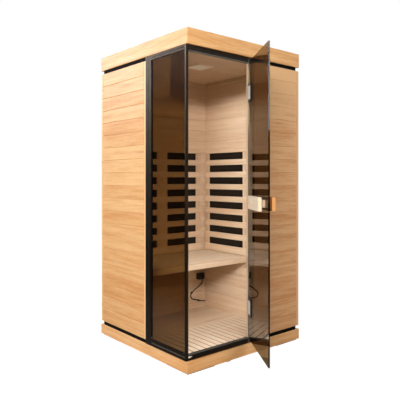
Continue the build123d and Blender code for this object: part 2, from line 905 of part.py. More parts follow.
with BuildPart() as hinge_covers:
    for level in hinge_heights:
        for face in (-1, 1):
            with BuildSketch(door_face.offset(face * clamp_face)):
                with Locations((cover_middle, level)):
                    cover = Rectangle(cover_width, cover_height)
                    chamfer(cover.vertices(), length=cover_corner)
            extrude(amount=face * cover_thickness)
hinge_covers.part.label = "hinge_covers"
export_step(hinge_covers.part, "parts/hinge_covers.step")

# ---------------------------------------------------------------- handle

handle_start = 174
handle_end = 434.5
handle_low = 903
handle_high = 976
handle_thickness = 18
finger_gap = 24
screw_places = (216, 386)
spacer_level = 941
spacer_width = 36
spacer_height = 42
handle_ease = 3

with BuildPart() as handle_plates:
    for face in (-1, 1):
        with BuildSketch(door_face.offset(face * (glass_half + finger_gap))):
            with Locations(((handle_start + handle_end) / 2, (handle_low + handle_high) / 2)):
                RectangleRounded(handle_end - handle_start, handle_high - handle_low, handle_ease)
        extrude(amount=face * handle_thickness)
handle_plates.part.label = "handle_plates"
export_step(handle_plates.part, "parts/handle_plates.step")

with BuildPart() as handle_spacers:
    for face in (-1, 1):
        with BuildSketch(door_face.offset(face * glass_half)):
            for place in screw_places:
                with Locations((place, spacer_level)):
                    spacer = Rectangle(spacer_width, spacer_height)
                    chamfer(spacer.vertices(), length=handle_ease)
        extrude(amount=face * finger_gap)
handle_spacers.part.label = "handle_spacers"
export_step(handle_spacers.part, "parts/handle_spacers.step")
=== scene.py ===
"""Looks of a one-person infrared sauna cabin: basswood boards, bronze glass, dark anodised trim.

The cabin stands on the floor with its footprint's centre at the origin, in metres, +Z up. The glass
door is at the front, towards -Y, and the glass side pane is towards -X. The door stands open.
"""

import json
import math

import bpy
import numpy as np
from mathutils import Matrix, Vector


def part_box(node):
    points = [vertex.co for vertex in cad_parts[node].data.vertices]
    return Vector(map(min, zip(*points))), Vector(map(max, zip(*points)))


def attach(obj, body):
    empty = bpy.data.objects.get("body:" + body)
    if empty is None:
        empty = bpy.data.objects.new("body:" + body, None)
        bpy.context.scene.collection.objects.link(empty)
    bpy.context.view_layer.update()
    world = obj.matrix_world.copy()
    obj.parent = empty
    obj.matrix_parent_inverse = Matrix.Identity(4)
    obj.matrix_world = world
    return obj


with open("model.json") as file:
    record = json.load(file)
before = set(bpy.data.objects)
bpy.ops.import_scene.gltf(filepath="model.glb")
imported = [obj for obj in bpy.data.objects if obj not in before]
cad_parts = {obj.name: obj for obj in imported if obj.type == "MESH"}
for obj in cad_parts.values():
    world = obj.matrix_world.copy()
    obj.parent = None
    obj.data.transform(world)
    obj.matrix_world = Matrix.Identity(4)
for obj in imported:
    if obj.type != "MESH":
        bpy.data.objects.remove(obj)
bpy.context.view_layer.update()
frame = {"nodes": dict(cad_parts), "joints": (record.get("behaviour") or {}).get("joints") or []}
nodes = frame["nodes"]
MM = 0.001
X, Y, Z = range(3)


def span(node, axis):
    """A CAD node's lowest and highest place along one axis."""
    low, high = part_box(node)
    return low[axis], high[axis]


# The door's hinge line, and how far the door stands open
hinge = frame["joints"][0]
hinge_line = np.array([*hinge["pos_m"][:2], 0])
door_angle = -hinge["range_deg"][0]

# ---------------------------------------------------------------- shader helpers


def linear(code):
    """An sRGB hex colour as linear red, green, blue and an alpha of 1: the standard curve, which
    is a line below 0.04045 and a power of 2.4 above it."""
    channels = [int(code[i : i + 2], 16) / 255 for i in (1, 3, 5)]
    curve = [c / 12.92 if c <= 0.04045 else ((c + 0.055) / 1.055) ** 2.4 for c in channels]
    return [*curve, 1.0]


def add(tree, kind, inputs=None, ramp=(), **settings):
    """Adds a node with its settings, its inputs as values or as other nodes' outputs, and the
    stops of its colour ramp."""
    made = tree.nodes.new("ShaderNode" + kind)
    for name, value in settings.items():
        setattr(made, name, value)
    for name, value in (inputs or {}).items():
        if isinstance(value, bpy.types.NodeSocket):
            tree.links.new(value, made.inputs[name])
        else:
            made.inputs[name].default_value = value
    if ramp:
        stops = made.color_ramp.elements
        stops[0].position, stops[-1].position = ramp[0][0], ramp[-1][0]
        for position, _ in ramp[1:-1]:
            stops.new(position)
        for stop, (_, colour) in zip(stops, ramp):
            stop.color = linear(colour)
    return made


def new_material(name):
    """An empty node material, and its tree."""
    material = bpy.data.materials.new(name)
    material.use_nodes = True
    material.node_tree.nodes.clear()
    return material, material.node_tree


def finish_material(tree, shader):
    """Makes a shader the surface of its material."""
    add(tree, "OutputMaterial", {"Surface": shader.outputs[0]})


def overlay(material, amount, colour, blend="MIX"):
    """Lays one colour over a finished wood by an amount from 0 to 1 at each point."""
    tree = material.node_tree
    target = tree.nodes["Principled BSDF"].inputs["Base Color"]
    below = target.links[0].from_socket
    mixed = add(tree, "Mix", {0: amount, 6: below, 7: linear(colour)}, data_type="RGBA", blend_type=blend)
    tree.links.new(mixed.outputs[2], target)


def dress(names, material):
    """Puts a material on CAD nodes through their objects' slots, so that the meshes stay as they are."""
    for name in names:
        for place in nodes[name].material_slots:
            place.link = "OBJECT"
            place.material = material


# ---------------------------------------------------------------- wood

# Basswood boards, planed and sanded and left with a satin oil: straight fine grain, soft darker
# bands where the saw ran along the growth rings, a tone that changes from board to board, and now
# and then a brown streak or a pin knot. Real pores are under 0.2 mm and the rings 1 to 2 mm apart.
# The rings are drawn three times as coarse, and the fibres seven times, so that they show.
ring_spacing = 5 * MM
band_width = 15 * MM
fibre_width = 1.5 * MM
narrowness = 0.07  # the width of a band or fibre over its length along the grain
board_shift = 3.7  # metres of log between the stretches that two neighbouring boards show
log_taper = 0.02  # a metre
streak_cells = 30.0  # a metre, and one in fourteen holds a streak
# Between these two heights the boards grow paler upward: painted light, for light that falls off downward.
painted_top_light_low, painted_top_light_high = 1.1, 1.85


def cover_ends(tree, edges, run, side, number):
    """Turns the grain upright past the two edges, where upright boards cover the ends of the level
    ones, gives it the number of a far board, and makes it paler. Gives the changed run, side and
    number, and how much the tone changes."""
    middle, reach = (edges[0] + edges[1]) / 2, (edges[1] - edges[0]) / 2
    offset = add(tree, "Math", {0: run, 1: middle}, operation="SUBTRACT").outputs[0]
    offset = add(tree, "Math", {0: offset}, operation="ABSOLUTE").outputs[0]
    upright = add(tree, "Math", {0: offset, 1: reach}, operation="GREATER_THAN").outputs[0]
    far_board = 50.0
    swap = ((run, side), (side, run), (number, far_board))
    run, side, number = (
        add(tree, "Mix", {0: upright, 2: one, 3: other}).outputs[0] for one, other in swap
    )
    paler = add(tree, "Math", {0: upright, 1: -0.3}, operation="MULTIPLY").outputs[0]
    return run, side, number, paler


def grain(tree, run, side, through, number, variety, paler):
    """The tone of sawn wood, from 0, pale, to 1, dark: rings, bands and fibres over each board's own
    tone. Gives it and the place in the wood, shortened along the grain."""
    chance = add(tree, "TexWhiteNoise", {"W": number}, noise_dimensions="1D")
    shares = add(tree, "SeparateXYZ", {0: chance.outputs["Color"]}).outputs
    slide = add(tree, "Math", {0: number, 1: board_shift, 2: run}, operation="MULTIPLY_ADD").outputs[0]
    # the rings of a log whose heart lies 20 to 140 mm beside each board, which tapers along it
    heart = add(tree, "MapRange", {0: shares[0], 3: 20 * MM, 4: 140 * MM}).outputs[0]
    level = add(tree, "Math", {0: side, 1: 120 * MM}, operation="PINGPONG").outputs[0]
    level = add(tree, "Math", {0: level, 1: heart}, operation="ADD").outputs[0]
    taper = add(tree, "Math", {0: slide, 1: log_taper, 2: through}, operation="MULTIPLY_ADD").outputs[0]
    short = add(tree, "Math", {0: slide, 1: narrowness}, operation="MULTIPLY").outputs[0]
    log = add(tree, "CombineXYZ", {0: short, 1: level, 2: taper}).outputs[0]
    rings = add(
        tree, "TexWave",
        {"Vector": log, "Scale": 0.314 / ring_spacing, "Distortion": 9.0, "Detail": 2.0,
         "Detail Scale": 0.6, "Detail Roughness": 0.5},
        wave_type="RINGS", rings_direction="X", wave_profile="SIN",
    ).outputs["Fac"]
    # noise makes forms about two thirds of 1 / scale wide
    line = add(tree, "CombineXYZ", {0: short, 1: side, 2: through}).outputs[0]
    band = add(tree, "TexNoise", {"Vector": line, "Scale": 0.675 / band_width, "Detail": 4.0,
                                  "Roughness": 0.6}).outputs[0]
    band = add(tree, "MapRange", {0: band, 1: 0.33, 2: 0.72}, interpolation_type="SMOOTHSTEP").outputs[0]
    fibre = add(tree, "TexNoise", {"Vector": line, "Scale": 0.63 / fibre_width, "Detail": 2.0}).outputs[0]
    flame = add(tree, "Math", {0: rings, 1: band}, operation="MULTIPLY").outputs[0]
    tone = add(tree, "Math", {0: shares[2], 1: variety, 2: paler}, operation="MULTIPLY_ADD").outputs[0]
    for form, share in ((band, 0.2), (flame, 0.09), (fibre, 0.3)):
        tone = add(tree, "Math", {0: form, 1: share, 2: tone}, operation="MULTIPLY_ADD").outputs[0]
    tone = add(tree, "Math", {0: tone, 1: 0.05}, operation="SUBTRACT", use_clamp=True).outputs[0]
    return tone, line


def streaks(tree, line):
    """How strong the brown streaks and pin knots are: half at the middle of a few scattered cells,
    which are long and thin along the grain, and nothing between them."""
    spot = add(tree, "TexVoronoi", {"Vector": line, "Scale": streak_cells})
    near = add(tree, "MapRange", {0: spot.outputs["Distance"], 1: 0.2, 2: 0.03}).outputs[0]
    pick = add(tree, "SeparateXYZ", {0: spot.outputs["Color"]}).outputs[0]
    pick = add(tree, "Math", {0: pick, 1: 0.93}, operation="GREATER_THAN").outputs[0]
    mark = add(tree, "Math", {0: near, 1: pick}, operation="MULTIPLY").outputs[0]
    return add(tree, "Math", {0: mark, 1: 0.5}, operation="MULTIPLY").outputs[0]


def end_grain(tree, along, turn):
    """How much darker the wood is, from 0 on the boards' faces to 0.6 on their sawn ends, which
    soak up more oil."""
    normal = add(tree, "TexCoord").outputs["Normal"]
    if turn:
        normal = add(tree, "Mapping", {0: normal, 2: (0, 0, turn)}, vector_type="VECTOR").outputs[0]
    ends = add(tree, "SeparateXYZ", {0: normal}).outputs[along]
    ends = add(tree, "Math", {0: ends}, operation="ABSOLUTE").outputs[0]
    return add(tree, "MapRange", {0: ends, 1: 0.6, 2: 0.9, 3: 0.0, 4: 0.6}).outputs[0]


def wood(name, tones, along, across, pitch=10.0, start=-5.0, face=None, edges=None, turn=0.0,
         variety=0.22, joint_dust_and_shade=0.08, painted_top_light=0.0, painted_groove_width=None):
    """Boards whose grain runs along one axis and which lie side by side across another, pitch apart
    from start. Without these two the piece is one board. tones are the pale wood, the common wood,
    the dark bands and the streaks. face is the place of the boards' face on the third axis: what
    lies deeper, in a seam, is darker by joint_dust_and_shade, for dust and painted shade in the
    recess. edges are the two places along the boards outside which upright boards cover their ends.
    turn is the angle about Z that turns the piece back to the axes. variety is how much the boards
    differ in tone. painted_top_light is how much paler, as painted light, the topmost boards are than
    those below painted_top_light_low. painted_groove_width is the width of a dark line of painted
    shade between two boards."""
    material, tree = new_material(name)
    through = 3 - along - across
    place = add(tree, "TexCoord").outputs["Object"]
    if turn:
        place = add(tree, "Mapping", {0: place, 2: (0, 0, turn)}).outputs[0]
    axes = add(tree, "SeparateXYZ", {0: place}).outputs
    from_start = add(tree, "Math", {0: axes[across], 1: start}, operation="SUBTRACT").outputs[0]
    board = add(tree, "Math", {0: from_start, 1: pitch}, operation="DIVIDE").outputs[0]
    number = add(tree, "Math", {0: board}, operation="FLOOR").outputs[0]
    run, side, paler = axes[along], axes[across], 0.0
    if edges:
        run, side, number, paler = cover_ends(tree, edges, run, side, number)
    tone, line = grain(tree, run, side, axes[through], number, variety, paler)
    # Painted light: the boards grow paler towards the top.
    if painted_top_light:
        painted_light = add(tree, "MapRange", {0: axes[Z], 1: painted_top_light_low, 2: painted_top_light_high, 3: 0.0, 4: painted_top_light},
                   interpolation_type="SMOOTHSTEP").outputs[0]
        tone = add(tree, "Math", {0: tone, 1: painted_light}, operation="SUBTRACT").outputs[0]
    pale, common, dark, streak = tones
    colour = add(tree, "ValToRGB", {0: tone},
                 ramp=((0.1, pale), (0.45, common), (0.85, dark))).outputs[0]
    layers = [(streaks(tree, line), streak)]
    # Dust and painted shade: what lies deeper than the boards' face, in a seam, is darker.
    if face is not None:
        recess_dust_and_shade = add(tree, "Math", {0: axes[through], 1: face}, operation="SUBTRACT").outputs[0]
        recess_dust_and_shade = add(tree, "Math", {0: recess_dust_and_shade}, operation="ABSOLUTE").outputs[0]
        recess_dust_and_shade = add(tree, "MapRange", {0: recess_dust_and_shade, 1: 0.2 * MM, 2: 1.6 * MM, 3: 0.0, 4: joint_dust_and_shade}).outputs[0]
        layers.append((recess_dust_and_shade, streak))
    # Painted shade: a dark line over each seam between boards, for the shade in a groove.
    if painted_groove_width:
        gap = add(tree, "Math", {0: from_start, 1: pitch / 2}, operation="PINGPONG").outputs[0]
        gap = add(tree, "MapRange", {0: gap, 1: 0.35 * painted_groove_width, 2: 0.65 * painted_groove_width, 3: 0.7, 4: 0.0}).outputs[0]
        layers.append((gap, streak))
    layers.append((end_grain(tree, along, turn), dark))
    for amount, layer in layers:
        colour = add(tree, "Mix", {0: amount, 6: colour, 7: linear(layer)}, data_type="RGBA").outputs[2]
    bump = add(tree, "Bump", {"Height": tone, "Strength": 0.3, "Distance": 0.3 * MM}).outputs[0]
    gloss = add(tree, "MapRange", {0: tone, 3: 0.44, 4: 0.58}).outputs[0]
    shader = add(tree, "BsdfPrincipled", {"Base Color": colour, "Roughness": gloss, "Normal": bump})
    finish_material(tree, shader)
    return material


# Each is the pale wood, the common wood, the dark bands and the streaks.
outer_tones = ("#ebbe89", "#d69c60", "#be7f45", "#7d4824")
left_tones = ("#e1b37c", "#cd9257", "#b5763e", "#7d4824")
# The front wall's tones are darker than the other walls': painted shade, for the shadow of the open glass
# door.
front_shade_tones = ("#dbac7a", "#c2834e", "#b2733f", "#6f4222")
inner_tones = ("#e1cbb0", "#d2b698", "#ba9571", "#85603f")
# The seat's tones are paler than the other inside wood: painted light, for the strong light on its top.
bench_lit_tones = ("#f2e4cf", "#e9d6bd", "#cfb393", "#8a6848")
mat_tones = ("#f0e1cd", "#e5d0b6", "#cdb294", "#7a5437")
panel_tones = ("#d9b487", "#c79f72", "#ab8257", "#6d4a2b")
skid_tones = ("#8a6d50", "#735840", "#5a4330", "#3a2a1b")
handle_tones = ("#fbead3", "#f3dabb", "#e3bb8e", "#8a5c34")

# The outer walls: level boards, with an upright board over their ends at each free edge
face = span("right_cladding", X)[1]
walls = dict(pitch=84.3 * MM, start=span("left_cladding", Z)[0])
edge_board = 19 * MM
left_low, left_high = span("left_cladding", Y)
right_high = span("right_cladding", Y)[1]
front_low, front_high = span("front_cladding", X)
back_low, back_high = span("back_cladding", X)
past_the_wall = -1.0  # the right wall has no upright board at its front
dress(["left_cladding"],
      wood("basswood cladding, left", left_tones, Y, Z, **walls, painted_top_light=0.05, face=-face,
           edges=(left_low + 18 * MM, left_high - edge_board)))
dress(["right_cladding"],
      wood("basswood cladding, right", outer_tones, Y, Z, **walls, face=face,
           edges=(past_the_wall, right_high - edge_board)))
dress(["front_cladding"],
      wood("basswood cladding, front", front_shade_tones, X, Z, **walls, variety=0.12, painted_top_light=0.3, face=-face,
           edges=(front_low + 12 * MM, front_high - edge_board)))
dress(["back_cladding"],
      wood("basswood cladding, back", outer_tones, X, Z, **walls, face=face,
           edges=(back_low + edge_board, back_high - edge_board)))

# The bands round the foot and round the roof, one board high
dress(["plinth_left", "plinth_right", "roof_fascia_left", "roof_fascia_right"],
      wood("basswood band, sides", outer_tones, Y, Z, variety=0.3))
dress(["plinth_front", "plinth_back", "roof_fascia_front", "roof_fascia_back"],
      wood("basswood band, front and back", outer_tones, X, Z, variety=0.3))

# The inside is the same wood without much oil: paler, greyer and less yellow
inside = span("right_lining", X)[0]
for wall, along, place in (("left", Y, -inside), ("right", Y, inside),
                           ("front", X, -inside), ("back", X, inside)):
    dress([f"{wall}_lining"],
          wood(f"basswood lining, {wall}", inner_tones, along, Z, **walls, variety=0.2, joint_dust_and_shade=0.3,
               face=place))
dress(["ceiling_panel", "ceiling_trim"],
      wood("basswood ceiling", inner_tones, X, Y, 215 * MM, -inside))
slats = dict(pitch=92.6 * MM, start=527.5 * MM, variety=0.2)
dress(["right_backrest_slats"], wood("basswood slats, right", inner_tones, Y, Z, **slats))
dress(["back_right_backrest_slats", "back_left_backrest_slats"],
      wood("basswood slats, back", inner_tones, X, Z, **slats))
# The seat's wood is paler: painted light on its top.
dress(["bench_seat"],
      wood("basswood bench", bench_lit_tones, X, Y, 95.6 * MM, span("bench_seat", Y)[0], variety=0.2))
dress(["bench_front_board"], wood("basswood bench, front", inner_tones, X, Z, variety=0.2))
dress(["backrest_stiles", "bench_brackets", "door_jamb"],
      wood("basswood uprights", inner_tones, Z, Y, 100 * MM, -inside, variety=0.3))

# The floor: a mat of narrow strips at the front, and wider boards across behind it
strip_width = 48 * MM
strip_start = 24 * MM
floor_top = span("floor_slats", Z)[1]
# The mat's seams get dark lines of painted shade, for the shade in its grooves.
dress(["floor_slats"],
      wood("basswood floor mat", mat_tones, Y, X, strip_width, strip_start, variety=0.3,
           face=floor_top, joint_dust_and_shade=0.8, painted_groove_width=8 * MM))


def boards_with_painted_grooves():
    """Floor boards into whose first ones the grooves of the mat run on, as dark lines of painted
    shade 6 to 10 mm wide, with no groove in the mesh, that end softly 60 mm past the middle of
    the floor. A line lies where the distance to the nearest seam between two strips is small."""
    material = wood("basswood floor boards", mat_tones, X, Y, 94.2 * MM, span("floor_deck", Y)[0],
                    variety=0.3, face=floor_top)
    tree = material.node_tree
    axes = add(tree, "SeparateXYZ", {0: add(tree, "TexCoord").outputs["Object"]}).outputs
    painted_groove = add(tree, "Math", {0: axes[X], 1: strip_start}, operation="SUBTRACT").outputs[0]
    painted_groove = add(tree, "Math", {0: painted_groove, 1: strip_width / 2}, operation="PINGPONG").outputs[0]
    painted_groove = add(tree, "MapRange", {0: painted_groove, 1: 2.8 * MM, 2: 5.2 * MM, 3: 0.65, 4: 0.0}).outputs[0]
    near = add(tree, "MapRange", {0: axes[Y], 1: 0.0, 2: 60 * MM, 3: 1.0, 4: 0.0}).outputs[0]
    painted_groove = add(tree, "Math", {0: painted_groove, 1: near}, operation="MULTIPLY").outputs[0]
    # Painted shade: the dark lines of the grooves.
    overlay(material, painted_groove, mat_tones[-1])
    return material


dress(["floor_deck"], boards_with_painted_grooves())

# Plainer boards: the panels over and under the cabin, the frame inside its walls, and the skids
dress(["roof_top", "base_panel"], wood("basswood panel", panel_tones, X, Y, 300 * MM, -500 * MM))
dress(["left_core", "right_core", "front_core", "back_core"],
      wood("pine core", panel_tones, Z, X, 90 * MM, -500 * MM))
dress(["floor_joists"], wood("pine joists", panel_tones, Y, X, 215 * MM, -530 * MM))
dress(["floor_skids"], wood("stained pine skids", skid_tones, Y, X, 155 * MM, -500 * MM))


def oiled_handle():
    """Wood turned back by the door's angle. The plate outside the door, past the middle of the glass
    on the way out, is a darker, warmer brown than the one inside."""
    swing = math.radians(door_angle)
    material = wood("oiled basswood handle", handle_tones, X, Z, turn=-swing, variety=0.0)
    tree = material.node_tree
    outward = (math.sin(swing), -math.cos(swing), 0)
    glass_low, glass_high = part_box("door_glass")
    pane_middle = sum((low + high) / 2 * axis for low, high, axis in zip(glass_low, glass_high, outward))
    place = add(tree, "TexCoord").outputs["Object"]
    reach = add(tree, "VectorMath", {0: place, 1: outward}, operation="DOT_PRODUCT").outputs["Value"]
    outside = add(tree, "Math", {0: reach, 1: pane_middle}, operation="GREATER_THAN").outputs[0]
    overlay(material, outside, "#e2b684", "MULTIPLY")
    return material


dress(["handle_plates", "handle_spacers"], oiled_handle())

# ---------------------------------------------------------------- metal, glass and plastic


def satin(name, colour, roughness, metallic, fineness, spacing, depth, glow=0.0, ior=1.5):
    """A surface with fine brushing or moulded grain: noise that makes the tone and the roughness
    vary a little and raises a bump. fineness is how dense the pattern is along X, Y and Z, and
    spacing is its size in metres, several times the real one, so that it shows."""
    material, tree = new_material(name)
    place = add(tree, "TexCoord").outputs["Object"]
    place = add(tree, "Mapping", {0: place, 3: fineness}).outputs[0]
    noise = add(tree, "TexNoise", {"Vector": place, "Scale": 1 / spacing, "Detail": 3.0}).outputs[0]
    least, most = roughness - 0.08, roughness + 0.08
    rough = add(tree, "MapRange", {0: noise, 1: 0.3, 2: 0.7, 3: least, 4: most}).outputs[0]
    light = [min(1, 1.15 * c) for c in linear(colour)[:3]] + [1]
    shade = [0.85 * c for c in linear(colour)[:3]] + [1]
    tone = add(tree, "Mix", {0: noise, 6: shade, 7: light}, data_type="RGBA").outputs[2]
    bump = add(tree, "Bump", {"Height": noise, "Strength": 0.3, "Distance": depth}).outputs[0]
    shader = add(tree, "BsdfPrincipled", {"Base Color": tone, "Roughness": rough, "Metallic": metallic,
                                          "Normal": bump, "Emission Color": linear(colour),
                                          "Emission Strength": glow, "IOR": ior})
    finish_material(tree, shader)
    return material


even = (1, 1, 1)
upright_lines = (1, 1, 0.05)
level_lines = (0.05, 0.05, 1)

# Extruded aluminium, etched and anodised bronze-black: a dark satin metal with faint drawn lines,
# which run up the posts and along the rails
trim_colour = "#443b33"
dress(["glazing_post", "corner_post", "hinge_post"],
      satin("bronze anodised aluminium", trim_colour, 0.33, 1.0, upright_lines, 1.5 * MM, 0.04 * MM))
dress(["side_head_rail", "side_sill_rail", "door_head_rail", "door_sill"],
      satin("bronze anodised aluminium, lengthwise", trim_colour, 0.33, 1.0, level_lines,
            1.5 * MM, 0.04 * MM))
# Aluminium strips sprayed with a dead matt black lacquer. Its open surface sends back less light
# than a closed coat, so its IOR is low
dress(["seam_strips"],
      satin("matt black lacquered aluminium", "#0d0a08", 0.85, 0.0, level_lines, 1.5 * MM, 0.08 * MM,
            ior=1.2))
# Extruded silicone: soft, mid grey and dull
dress(["door_seal"], satin("extruded silicone seal", "#575752", 0.5, 0.0, even, 1.2 * MM, 0.03 * MM))
# Die-cast zinc, powder-coated black, with the fine orange peel of the powder
dress(["hinge_clamps", "hinge_frame_leaves"],
      satin("powder-coated zinc alloy", "#17171a", 0.42, 0.0, even, 0.8 * MM, 0.05 * MM))
# Die-cast zinc, ground and sprayed with pale silver, which shines white and doesn't mirror
dress(["hinge_covers", "hinge_pins"],
      satin("silver lacquer on zinc alloy", "#f2efe8", 0.3, 0.0, upright_lines, 0.8 * MM, 0.02 * MM))
# Woven carbon fibre pressed into a dull resin: almost black, and a little uneven
dress(["heater_panels"], satin("carbon heater cloth", "#120e0b", 0.7, 0.0, even, 2.5 * MM, 0.12 * MM))
# Injection-moulded ABS: cream, with a satin skin
dress(["light_bezel"], satin("moulded ABS bezel", "#efe0c8", 0.4, 0.0, even, 1.0 * MM, 0.03 * MM))
# Cast opal acrylic, with a faint glow that is painted light, for more light falling on it
dress(["light_diffuser"],
      satin("opal acrylic lens", "#f8f0e2", 0.35, 0.0, even, 1.5 * MM, 0.02 * MM, glow=0.07))
# Injection-moulded nylon: black, with the fine texture that spark erosion leaves in a mould
dress(["power_socket", "lead_clips", "supply_gland"],
      satin("moulded black nylon", "#161616", 0.42, 0.0, even, 0.9 * MM, 0.04 * MM))
# Extruded rubber: black and dull
dress(["heater_lead"], satin("rubber lead sheath", "#1b1a19", 0.6, 0.0, even, 0.7 * MM, 0.03 * MM))


def bronze_glass(name, colour, density, roughness):
    """Body-tinted toughened float glass: a polished clear surface, and inside it an absorption of
    (1 - colour) * density a metre. Lamps pass the surface straight and are dimmed inside it too."""
    material, tree = new_material(name)
    shader = add(tree, "BsdfPrincipled", {"Base Color": (1, 1, 1, 1), "Roughness": roughness,
                                          "IOR": 1.52, "Transmission Weight": 1.0})
    clear = add(tree, "BsdfTransparent")
    lamplight = add(tree, "LightPath").outputs["Is Shadow Ray"]
    both = add(tree, "MixShader", {0: lamplight, 1: shader.outputs[0], 2: clear.outputs[0]})
    tint = add(tree, "VolumeAbsorption", {"Color": colour, "Density": density})
    add(tree, "OutputMaterial", {"Surface": both.outputs[0], "Volume": tint.outputs[0]})
    return material


# An 8 mm pane lets through a quarter of the red, a sixth of the green and an eleventh of the blue.
dress(["side_glass", "door_glass"],
      bronze_glass("bronze toughened glass", (0.503, 0.365, 0.112, 1), 330.0, 0.0))

# ---------------------------------------------------------------- small fasteners and clips


def turned(profile, spokes):
    """A closed turned form: each (radius, height) of the profile becomes a ring of points (radius
    times cosine, radius times sine, height). The first and last, which lie on the axis, close it
    as single points. Gives points and faces."""
    radius, height = np.array(profile, float).T
    angle = np.arange(spokes) * 2 * np.pi / spokes
    rings = np.stack([
        np.outer(radius[1:-1], np.cos(angle)),
        np.outer(radius[1:-1], np.sin(angle)),
        np.repeat(height[1:-1, None], spokes, axis=1),
    ], axis=-1)
    points = np.vstack([[0, 0, height[0]], rings.reshape(-1, 3), [0, 0, height[-1]]])
    here = 1 + np.arange(rings.shape[0] * spokes).reshape(-1, spokes)
    beside = np.roll(here, -1, axis=1)
    sides = np.stack([here[:-1], here[1:], beside[1:], beside[:-1]], axis=-1).reshape(-1, 4)
    top = np.stack([np.zeros(spokes, int), here[0], beside[0]], axis=-1)
    bottom = np.stack([np.full(spokes, len(points) - 1), beside[-1], here[-1]], axis=-1)
    return points, [top, sides, bottom]


def carried(section, path, out, sizes):
    """A closed section carried along a path: each path point gets the section, times its size,
    with its first measure along the sideways direction, which is out crossed with the path's own,
    and its second along out. Flat caps close the ends. Gives points and faces."""
    section, path = np.array(section, float), np.array(path, float)
    along = np.gradient(path, axis=0)
    along /= np.linalg.norm(along, axis=1, keepdims=True)
    out = np.array(out, float)
    aside = np.cross(out, along)
    spread = np.array(sizes, float)[:, None, None] * section[None]
    points = path[:, None] + spread[..., :1] * aside[:, None] + spread[..., 1:] * out
    count = len(section)
    here = np.arange(len(path) * count).reshape(-1, count)
    beside = np.roll(here, -1, axis=1)
    sides = np.stack([here[:-1], beside[:-1], beside[1:], here[1:]], axis=-1).reshape(-1, 4)
    return points.reshape(-1, 3), [sides, here[:1, ::-1], here[-1:]]


def made_piece(name, points, face_groups, material, body, smooth=True):
    """A mesh object of these points and faces that rides on a body."""
    mesh = bpy.data.meshes.new(name)
    mesh.from_pydata(points.tolist(), [], [face for group in face_groups for face in group.tolist()])
    mesh.materials.append(material)
    mesh.polygons.foreach_set("use_smooth", [smooth] * len(mesh.polygons))
    piece = bpy.data.objects.new(name, mesh)
    bpy.context.scene.collection.objects.link(piece)
    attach(piece, body)
    return piece


# Bright zinc plating on the steel of the screws: a pale metal with a soft shine
zinc = satin("zinc-plated steel", "#c9c8c2", 0.35, 1.0, even, 1.0 * MM, 0.02 * MM)


def screws(name, places, out, radius, height, body="cabin"):
    """Pan-head screws, one at each place, whose heads face out: a turned dome whose height falls
    with the square of the distance from its middle. A cross is pressed into it where the distance
    to the nearer of two lines across the head is under an arm's width."""
    reach = np.linspace(0, 1, 9)
    dome = [(radius * r, height * (1 - 0.35 * r * r)) for r in reach]
    points, groups = turned(dome + [(radius, 0), (0, 0)], 32)
    arm, cross_reach, cross_depth = 0.16 * radius, 0.68 * radius, 0.55 * height
    aside = np.minimum(np.abs(points[:, 0]), np.abs(points[:, 1]))
    from_middle = np.hypot(points[:, 0], points[:, 1])
    pressed = np.clip((arm - aside) / arm + 0.6, 0, 1) * np.clip((cross_reach - from_middle) / arm, 0, 1)
    on_dome = points[:, 2] > 0.3 * height
    points[:, 2] -= cross_depth * pressed * on_dome
    out = np.array(out, float)
    across = np.cross((0, 0, 1), out)
    turn = np.stack([across, np.cross(out, across), out])
    copies = np.array(places, float)[:, None] + points[None] @ turn
    steps = len(points) * np.arange(len(places))
    groups = [(group[None] + steps[:, None, None]).reshape(-1, group.shape[1]) for group in groups]
    return made_piece(name, copies.reshape(-1, 3), groups, zinc, body)


# Wall screws, in the counterbores of the outer boards
wall_levels = (0.209, 0.690, 1.185, 1.680)
bore_floor = face - 3 * MM
front_line, side_line = 443 * MM, 460 * MM
wall_head = dict(radius=4 * MM, height=2.2 * MM)
screws("wall_screws_front", [(front_line, -bore_floor, z) for z in wall_levels], (0, -1, 0), **wall_head)
screws("wall_screws_left", [(-bore_floor, side_line, z) for z in wall_levels], (-1, 0, 0), **wall_head)
screws("wall_screws_right", [(bore_floor, side_line, z) for z in wall_levels], (1, 0, 0), **wall_head)

# Handle screws, on the outer faces of the two plates
door_heading = math.radians(180 + door_angle)
door_run = np.array([math.cos(door_heading), math.sin(door_heading), 0])
door_out = np.array([-door_run[1], door_run[0], 0])
half_glass, spacer, plate = 4 * MM, 24 * MM, 18 * MM
plate_face = half_glass + spacer + plate
handle_level = sum(span("handle_plates", Z)) / 2
for label, side in (("outer", 1), ("inner", -1)):
    places = [hinge_line + reach * door_run + side * plate_face * door_out + (0, 0, handle_level)
              for reach in (216 * MM, 386 * MM)]
    screws(f"handle_screws_{label}", places, side * door_out, 3.5 * MM, 1.2 * MM, "door")

# Hinge screws, two in each leaf on the frame
leaf_line, leaf_face = 46 * MM, -467 * MM
leaf_screws = [(leaf_line, leaf_face, level + shift) for level in (303 * MM, 1588 * MM)
               for shift in (-30 * MM, 30 * MM)]
screws("hinge_leaf_screws", leaf_screws, (0, -1, 0), 4 * MM, 1.5 * MM)

# Stile screws, on the middle line of each stile, in the lowest and the highest gap between slats
stile_width, stile_inset = 45 * MM, 0.5 * MM
stile_front = span("right_backrest_slats", X)[1]
stile_levels = (0.594, 1.242)
inset = stile_inset + stile_width / 2
back_end = span("back_right_backrest_slats", X)[1] - inset
slats_low, slats_high = span("right_backrest_slats", Y)
back_places = [(x, stile_front, z) for x in (-back_end, -inset, inset, back_end) for z in stile_levels]
right_places = [(stile_front, y, z) for y in (slats_low + inset, slats_high - inset) for z in stile_levels]
screws("stile_screws_back", back_places, (0, -1, 0), 3.5 * MM, 1.5 * MM)
screws("stile_screws_right", right_places, (-1, 0, 0), 3.5 * MM, 1.5 * MM)


